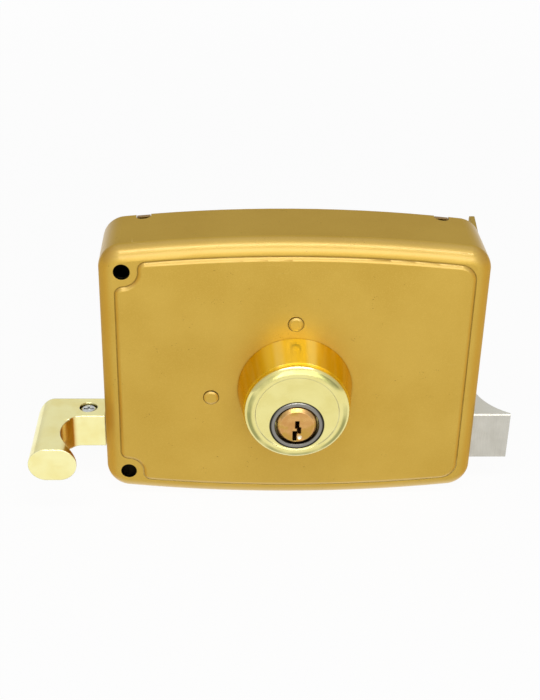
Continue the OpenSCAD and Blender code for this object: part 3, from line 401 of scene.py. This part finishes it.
def turned_brass():
    """Pale polished brass of the cylinder's head: turning rings, a film of tarnish on its rim that is
    dark enough to stand in for painted shade there too, and painted shade at its step, round the face
    ring and in corners.
    """
    finish = Finish("turned_brass")
    centre = axis_of("cylinder_housing")
    outside = radius_of("cylinder_housing")
    out = finish.from_axis(centre)
    smudge = finish.grain(8, detail=4.0).band(0.35, 0.75)
    rings = finish.turned(centre, pitch=0.16)
    rim_start = out.band(outside - 2.4 * MM, outside - 1.5 * MM)
    rim_end = out.band(outside - 0.5 * MM, outside - 0.9 * MM)
    film = rim_start * rim_end * finish.grain(11).band(0.35, 0.6)
    ring_gap = radius_of("face_ring") + 0.15 * MM
    gap_shade = finish.from_axis(axis_of("face_ring")).near(ring_gap, reach=0.35 * MM, core=0.1 * MM)
    step = out.near(outside - HEAD_STEP, reach=0.3 * MM, core=0.1 * MM)
    edge = finish.edges(0.5)
    crease = finish.creases(0.8).band(0.3, 0.9)
    body = finish.mix(smudge, srgb(239, 229, 154), srgb(230, 217, 136))
    # painted shade: a thin dark line at the step in the head's face
    stepped = finish.mix(step * 0.4, body, srgb(168, 158, 92))
    # greenish tarnish on the rim, darkened enough to stand in for painted shade there as well
    tarnish_and_shade = finish.mix(film * 0.85, stepped, srgb(140, 142, 84))
    bright = finish.mix(edge * 0.6, tarnish_and_shade, srgb(250, 246, 200))
    # painted shade in the head's corners
    shaded = finish.mix(crease * 0.85, bright, srgb(104, 86, 36))
    # painted shade: a dark line in the gap round the face ring
    lined = finish.mix(gap_shade * 0.85, shaded, srgb(46, 40, 26))
    finish.set(base_color=lined, metallic=1.0,
               roughness=0.1 + smudge * 0.05 + rings * 0.06 + film * 0.08)
    finish.relief(rings, 0.004, edge_radius=0.35)
    return finish.material


def cast_brass():
    """Polished cast brass of the pull: faint casting waves, buffing marks and handling wear, a painted
    reflection of the gold case in its finger scoop, and painted shade in its corners.
    """
    finish = Finish("cast_brass")
    smudge = finish.grain(7, detail=4.0).band(0.35, 0.75)
    buffing = finish.noise(finish.stretched(0.2, 3.0, 0.2), detail=3.0)
    wave = finish.grain(5.0)
    edge = finish.edges(0.6)
    scratch = finish.scratches(length=9, width=0.08)
    crease = finish.creases(0.9).band(0.3, 0.9)
    ahead = finish.place.part("Y").band(SHANK_FRONT, SHANK_FRONT - 1 * MM)
    scoop = finish.facing("X").band(0.1, 0.6) * ahead
    body = finish.mix(smudge, srgb(253, 246, 182), srgb(248, 236, 162))
    # painted reflection: the side of the finger scoop that faces the case is tinted deep orange
    stain_and_reflection = finish.mix(scoop * 0.75, body, srgb(202, 138, 18))
    bright = finish.mix(edge * 0.6, stain_and_reflection, srgb(254, 250, 214))
    scored = finish.mix(scratch * 0.35, bright, srgb(206, 188, 112))
    # painted shade in the pull's corners
    shaded = finish.mix(crease * 0.85, scored, srgb(110, 88, 34))
    finish.set(base_color=shaded, metallic=1.0, roughness=0.1 + smudge * 0.06 + buffing * 0.07)
    finish.relief(buffing * 0.25 + wave * 0.75 - scratch * 0.2, 0.012, edge_radius=0.55)
    return finish.material


def plug_bronze():
    """Turned brass of a redder cast, mottled by handling, with a pale hard pin beside its keyway, a
    painted highlight on the top of its bevel, and painted shade along the keyway and in corners.
    """
    finish = Finish("plug_bronze")
    centre = axis_of("cylinder_plug")
    rings = finish.turned(centre, pitch=0.13)
    smudge = finish.grain(2.2, detail=3.0).band(0.3, 0.7)
    patina = finish.grain(3.1).band(0.44, 0.64)
    edge = finish.edges(0.4)
    crease = finish.creases(0.4).band(0.35, 0.95)
    pin = finish.from_axis((centre[0] + HARD_PIN[0], centre[1] + HARD_PIN[1]))
    on_pin = pin.band(0.8 * MM, 0.6 * MM)
    off_pin = pin.band(0.6 * MM, 0.9 * MM)
    rim = finish.from_axis(centre).band(4.4 * MM, 5.0 * MM)
    painted_highlight = finish.facing("Z").band(0.2, 0.5) * finish.facing("Y").band(-0.95, -0.8)
    body = finish.mix(smudge, srgb(224, 176, 108), srgb(206, 154, 90))
    aged = finish.mix(patina * 0.8, body, srgb(194, 158, 66))
    ringed = finish.mix(rings * 0.3, aged, srgb(180, 126, 66))
    # edge wear, and a painted highlight on the top of the plug's bevel
    bright = finish.mix((edge * 0.35 + painted_highlight * 0.15) * rim, ringed, srgb(255, 226, 170))
    pinned = finish.mix(on_pin, bright, srgb(236, 220, 188))
    # painted shade: a thin dark line along the keyway's edges
    keyway_shaded = finish.mix(edge * (1 - rim) * off_pin, pinned, srgb(52, 30, 12))
    # painted shade in the plug's corners
    shaded = finish.mix(crease * 0.9, keyway_shaded, srgb(40, 24, 8))
    finish.set(base_color=shaded, metallic=1.0, roughness=0.2 + rings * 0.14 + smudge * 0.06)
    finish.relief(rings, 0.008, edge_radius=0.2)
    return finish.material


def ring_steel():
    """Bright turned steel of the ring and the clips, with painted shade in corners, along the ring's
    inner edge, and round its outer edge except near the top.
    """
    finish = Finish("ring_steel")
    centre = axis_of("face_ring")
    plug_edge = radius_of("cylinder_plug")
    out = finish.from_axis(centre)
    rings = finish.turned(centre, pitch=0.1)
    inner = out.band(plug_edge + 0.8 * MM, plug_edge + 0.5 * MM)
    outer = out.near(radius_of("face_ring"), reach=0.5 * MM, core=0.2 * MM)
    below_top = (finish.place.part("Z") - centre[1]).band(7 * MM, 3 * MM)
    edge = finish.edges(0.25)
    crease = finish.creases(0.6).band(0.25, 0.85)
    body = finish.mix(rings, srgb(124, 121, 114), srgb(156, 153, 145))
    bright = finish.mix(edge * 0.45, body, srgb(208, 206, 200))
    # painted shade in the ring's corners
    shaded = finish.mix(crease * 0.95, bright, srgb(18, 16, 16))
    # painted shade: a dark band along the ring's inner edge, next to the plug
    lined = finish.mix(inner * 0.8, shaded, srgb(28, 26, 22))
    # painted shade: a dark line round the ring's outer edge, fading out towards the top
    outline_shaded = finish.mix(outer * below_top * 0.8, lined, srgb(40, 37, 36))
    finish.set(base_color=outline_shaded, metallic=1.0, roughness=0.22 + rings * 0.14)
    finish.relief(rings, 0.006, edge_radius=0.15)
    return finish.material


def bolt_nickel():
    """Plated cast metal of the latch bolt, ground upright and rubbed bright along its edges, lighter on
    its top and bottom faces from sliding polish and painted highlight, with painted shade in its
    corners.
    """
    finish = Finish("bolt_nickel")
    marks = finish.noise(finish.stretched(0.2, 0.2, 6.0), detail=4.0, rough=0.6)
    cloud = finish.grain(6, detail=3.0).band(0.3, 0.7)
    edge = finish.edges(0.45)
    scratch = finish.scratches(length=8, width=0.07)
    crease = finish.creases(1.0).band(0.25, 0.85)
    polish_and_highlight_mask = abs(finish.facing("Z")).band(0.8, 0.95)
    body = finish.mix(cloud, srgb(192, 189, 178), srgb(204, 201, 191))
    # lighter top and bottom faces: polish from sliding, and painted highlight
    polished = finish.mix(polish_and_highlight_mask * 0.8, body, srgb(232, 232, 222))
    lined = finish.mix(marks.band(0.4, 0.75) * 0.4, polished, srgb(168, 165, 155))
    scored = finish.mix(scratch * 0.4, lined, srgb(226, 226, 220))
    bright = finish.mix(edge * 0.3, scored, srgb(226, 226, 218))
    # painted shade in the bolt's corners
    shaded = finish.mix(crease * 0.75, bright, srgb(66, 62, 54))
    finish.set(base_color=shaded, metallic=0.7, roughness=0.3 + marks * 0.16)
    finish.relief(marks * 0.8 - scratch * 0.2, 0.012, edge_radius=0.22)
    return finish.material


def zinc_plate():
    """Zinc-plated sheet with a faint spangle, its tongues gold from the spray, with painted shade on its
    inner face and in its corners.
    """
    finish = Finish("zinc_plate")
    spangle = finish.cells(1.1)
    cloud = finish.grain(22, detail=4.0).band(0.3, 0.75)
    rolled = finish.noise(finish.stretched(0.8, 9.0, 50.0), detail=4.0, rough=0.6)
    edge = finish.edges(0.3)
    scratch = finish.scratches(length=34, width=0.18)
    stain = finish.grain(4.0, detail=5.0).band(0.62, 0.78)
    crease = finish.creases(1.5).band(0.25, 0.85)
    inner = finish.facing("Y").band(-0.5, -0.9)
    tongue_side = abs(finish.place.part("X")).band(TONGUE[0], TONGUE[0] + 0.2 * MM)
    tongue_end = abs(finish.place.part("Z")).band(TONGUE[1], TONGUE[1] + 0.2 * MM)
    lines = spangle * 0.3 + rolled.band(0.3, 0.7) * 0.5
    body = finish.mix(lines, srgb(172, 174, 174), srgb(204, 205, 203))
    yellowed = finish.mix(cloud * 0.25, body, srgb(190, 184, 164))
    stain_and_reflection = finish.mix(stain * 0.35, yellowed, srgb(138, 134, 124))
    scored = finish.mix(scratch * 0.7, stain_and_reflection, srgb(232, 232, 228))
    bright = finish.mix(edge * 0.5, scored, srgb(226, 226, 224))
    # painted shade in the plate's corners
    shaded = finish.mix(crease * 0.65, bright, srgb(74, 70, 62))
    # painted shade: the face that looks into the case is darkened almost to black
    oil_and_inner_shade = finish.mix(inner * 0.85, shaded, srgb(34, 30, 24))
    spray_and_lip_shade = finish.mix(tongue_side * tongue_end * 0.9, oil_and_inner_shade, srgb(152, 114, 38))
    finish.set(base_color=spray_and_lip_shade, metallic=0.9,
               roughness=0.3 + spangle * 0.06 + rolled * 0.1 + stain * 0.1)
    finish.relief(rolled * 0.7 - scratch * 0.3, 0.008)
    return finish.material


def screw_zinc():
    """Bright zinc of the handle's screw, with painted shade in its cross slot."""
    finish = Finish("screw_zinc")
    marks = finish.grain(0.35, detail=3.0)
    edge = finish.edges(0.25)
    crease = finish.creases(0.9).band(0.3, 0.8)
    body = finish.mix(marks, srgb(196, 200, 200), srgb(222, 225, 224))
    bright = finish.mix(edge * 0.5, body, srgb(240, 242, 241))
    # painted shade in the cross slot and corners
    shaded = finish.mix(crease * 0.9, bright, srgb(30, 30, 28))
    finish.set(base_color=shaded, metallic=1.0, roughness=0.22 + marks * 0.12)
    finish.relief(marks, 0.008, edge_radius=0.15)
    return finish.material


def rivet_steel():
    """Dark steel of the guides' rivets, hammered flat at the back of the plate."""
    finish = Finish("rivet_steel")
    dents = finish.grain(0.6)
    edge = finish.edges(0.3)
    body = finish.mix(dents.band(0.35, 0.65), srgb(104, 102, 97), srgb(142, 140, 135))
    rimmed = finish.mix(edge * 0.7, body, srgb(58, 54, 46))
    finish.set(base_color=rimmed, metallic=1.0, roughness=0.3 + dents * 0.2)
    finish.relief(dents, 0.05)
    return finish.material


def drawn_steel(name, across, depth, up):
    """Plain drawn steel under a film of oil, with lines as long as the three sizes say, and painted
    shade in its corners.
    """
    finish = Finish(name)
    marks = finish.noise(finish.stretched(across, depth, up), detail=4.0)
    oil = finish.grain(5, detail=3.0).band(0.35, 0.7)
    edge = finish.edges(0.3)
    crease = finish.creases(1.0).band(0.3, 0.9)
    body = finish.mix(marks, srgb(150, 150, 150), srgb(180, 180, 179))
    oil_and_inner_shade = finish.mix(oil * 0.4, body, srgb(138, 131, 117))
    bright = finish.mix(edge * 0.6, oil_and_inner_shade, srgb(216, 216, 215))
    # painted shade in corners
    shaded = finish.mix(crease * 0.6, bright, srgb(60, 56, 48))
    finish.set(base_color=shaded, metallic=1.0, roughness=0.27 + marks * 0.14 - oil * 0.06)
    finish.relief(marks, 0.008)
    return finish.material


def dress(names, material):
    """Gives CAD nodes one finish."""
    for name in names:
        slots = nodes[name].data.materials
        slots.clear()
        slots.append(material)


def dress_lock():
    """Gives every node of the lock its finish."""
    dress(["case_cover", "panel_rivets"], gold_paint())
    dress(["cylinder_collar"], collar_lacquer())
    dress(["cylinder_housing"], turned_brass())
    dress(["pull_handle", "driver_pins", "key_pins", "chamber_cap"], cast_brass())
    dress(["cylinder_plug"], plug_bronze())
    dress(["face_ring", "cylinder_clip", "cam_clip"], ring_steel())
    dress(["latch_bolt"], bolt_nickel())
    dress(["back_plate", "bracket_plate", "bar_guide", "bolt_guide"], zinc_plate())
    dress(["handle_screw"], screw_zinc())
    dress(["slide_bar", "yoke_pin"], drawn_steel("bar_steel", across=8.0, depth=0.2, up=0.2))
    dress(["guide_rivets"], rivet_steel())
    dress(["tail_cam", "bolt_pins", "yoke_plate"],
          drawn_steel("cam_steel", across=0.5, depth=2.0, up=0.5))
    dress(["latch_spring", "pin_springs"],
          drawn_steel("spring_steel", across=0.6, depth=0.6, up=0.6))


def add_latch_spring():
    """A copy of the coil round the bar, shown in place of its CAD node and fixed to the lock case."""
    node = nodes["latch_spring"]
    low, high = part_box("latch_spring")
    joints = frame["record"]["behaviour"]["joints"]
    slide = next(joint for joint in joints if joint["name"] == "latch_slide")
    travel = slide["range_m"][1]
    coil = bpy.data.objects.new("latch_spring_coil", node.data.copy())
    bpy.context.scene.collection.objects.link(coil)
    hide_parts("latch_spring")
    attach(coil, "lock_case")
    1 - travel / (high.x - low.x)
    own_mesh(coil)


def add_camera():
    """The photograph's camera, with the picture's centre on its axis."""
    flat = math.cos(CAMERA_ELEVATION)
    back = Vector((math.sin(CAMERA_AZIMUTH) * flat, -math.cos(CAMERA_AZIMUTH) * flat,
                   math.sin(CAMERA_ELEVATION)))
    level = Vector((math.cos(CAMERA_AZIMUTH), math.sin(CAMERA_AZIMUTH), 0))
    rise = back.cross(level)
    right = math.cos(CAMERA_ROLL) * level + math.sin(CAMERA_ROLL) * rise
    up = -math.sin(CAMERA_ROLL) * level + math.cos(CAMERA_ROLL) * rise
    data = bpy.data.cameras.new("camera")
    data.sensor_width = SENSOR
    data.lens = FOCAL_PIXELS * SENSOR / IMAGE_HEIGHT
    data.clip_start = 0.01
    camera = bpy.data.objects.new("camera", data)
    turn = Matrix((right, up, back)).transposed().to_4x4()
    camera.matrix_world = Matrix.Translation(CAMERA_TARGET + back * CAMERA_DISTANCE) @ turn
    bpy.context.scene.collection.objects.link(camera)
    bpy.context.scene.camera = camera


def add_softbox(name, place, size, power):
    """A soft rectangular lamp that faces the middle of the lock."""
    data = bpy.data.lights.new(name, "AREA")
    data.shape = "RECTANGLE"
    data.size, data.size_y = size
    data.energy = power
    lamp = bpy.data.objects.new(name, data)
    lamp.location = place
    lamp.rotation_euler = (LAMP_TARGET - Vector(place)).to_track_quat("-Z", "Y").to_euler()
    bpy.context.scene.collection.objects.link(lamp)


def seen_directly(start):
    """1 for rays from the camera and for mirror and clear rays, 0 for light that falls on things."""
    camera, mirror, clear = (start.node("ShaderNodeLightPath", output=kind) for kind in (
        "Is Camera Ray", "Is Glossy Ray", "Is Transmission Ray"))
    return start.maths("MINIMUM", camera + mirror + clear, 1.0)


def light_world(level, back_level, side_level):
    """A white surround, dimmer in mirrors at the back and the sides, and an even light on the lock."""
    world = bpy.data.worlds.new("studio")
    world.use_nodes = True
    world.node_tree.nodes.clear()
    start = Wire(world.node_tree)
    direction = start.node("ShaderNodeTexCoord", output="Generated")
    behind = direction.part("Y").band(0.0, 0.8)
    beside = abs(direction.part("X")).band(0.4, 0.9)
    surround = 1 - behind * (1 - back_level) - beside * (1 - side_level)
    camera = start.node("ShaderNodeLightPath", output="Is Camera Ray")
    strength = camera + (1 - camera) * surround * (seen_directly(start) * (1 - level) + level)
    shader = start.node("ShaderNodeBackground", None, {"Color": (1, 1, 1, 1), "Strength": strength})
    start.node("ShaderNodeOutputWorld", None, {"Surface": shader})
    bpy.context.scene.world = world


def add_floor(bottom):
    """A wide white floor that keeps a faint shadow near the lock and runs into the white surround."""
    mesh = bpy.data.meshes.new("floor")
    corners = [(across * FLOOR_REACH, depth * FLOOR_REACH, bottom)
               for across, depth in ((-1, -1), (1, -1), (1, 1), (-1, 1))]
    mesh.from_pydata(corners, [], [(0, 1, 2, 3)])
    floor = bpy.data.objects.new("floor", mesh)
    bpy.context.scene.collection.objects.link(floor)
    material = bpy.data.materials.new("floor_white")
    material.use_nodes = True
    material.node_tree.nodes.clear()
    start = Wire(material.node_tree)
    matt = start.node("ShaderNodeBsdfDiffuse", None, {"Color": (0.92, 0.92, 0.92, 1)})
    glow = start.node("ShaderNodeEmission", None, {"Color": (1, 1, 1, 1), "Strength": 1.0})
    place = start.node("ShaderNodeTexCoord", output="Object")
    away = start.node("ShaderNodeVectorMath", {"operation": "LENGTH"}, {0: place}, "Value")
    far = away.band(*FLOOR_FADE)
    seen = seen_directly(start)
    white = seen * (FLOOR_NEAR_WHITE + far * (1 - FLOOR_NEAR_WHITE)) + (1 - seen) * FLOOR_LIGHT
    shader = start.node("ShaderNodeMixShader", None, {0: white, 1: matt, 2: glow})
    start.node("ShaderNodeOutputMaterial", None, {"Surface": shader})
    mesh.materials.append(material)


dress_lock()
add_latch_spring()
add_camera()
add_floor(cad_box[0][2])
light_world(level=0.2, back_level=0.78, side_level=0.6)
add_softbox("front", place=(0.1, -0.95, 0.35), size=(0.9, 0.6), power=4.6)
add_softbox("overhead", place=(0.0, -0.42, 0.75), size=(0.8, 0.14), power=2.8)
